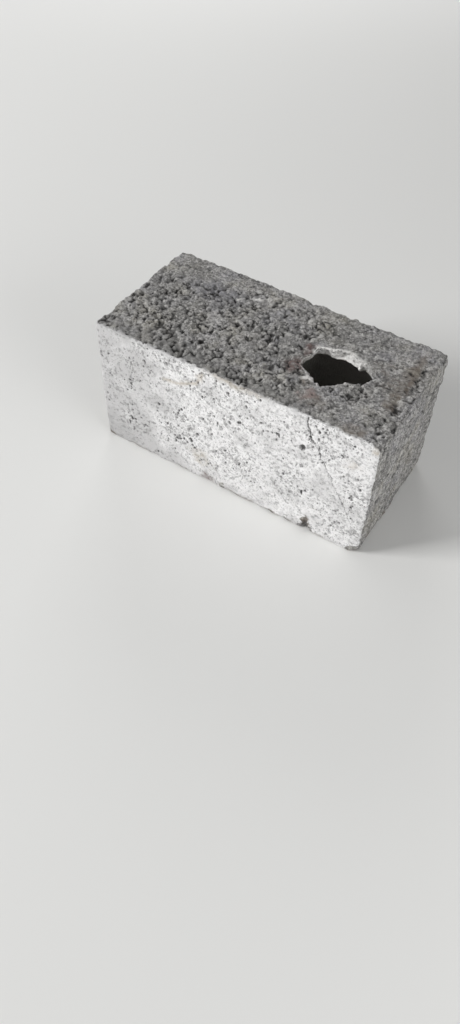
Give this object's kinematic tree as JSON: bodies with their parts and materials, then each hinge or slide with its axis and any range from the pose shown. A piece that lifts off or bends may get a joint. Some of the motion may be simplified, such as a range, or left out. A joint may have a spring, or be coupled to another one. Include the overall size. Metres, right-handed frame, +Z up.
{
  "type": "hollow concrete block",
  "caption": "Hollow concrete building block laid closed face up, with drafted cores under a thin lid broken through at one end and a whitewashed front.",
  "frame": {"origin": "middle of the underside, on the floor that the block rests on", "axes": "+X along the length, to the right as seen from the painted front; +Y from the front to the back; +Z up, towards the closed face"},
  "size_m": [0.39, 0.19, 0.19],
  "materials": {
    "concrete": "matt cast concrete, one long face whitewashed"
  },
  "bodies": {
    "root": {"concrete_block": "concrete"}
  },
  "joints": []
}
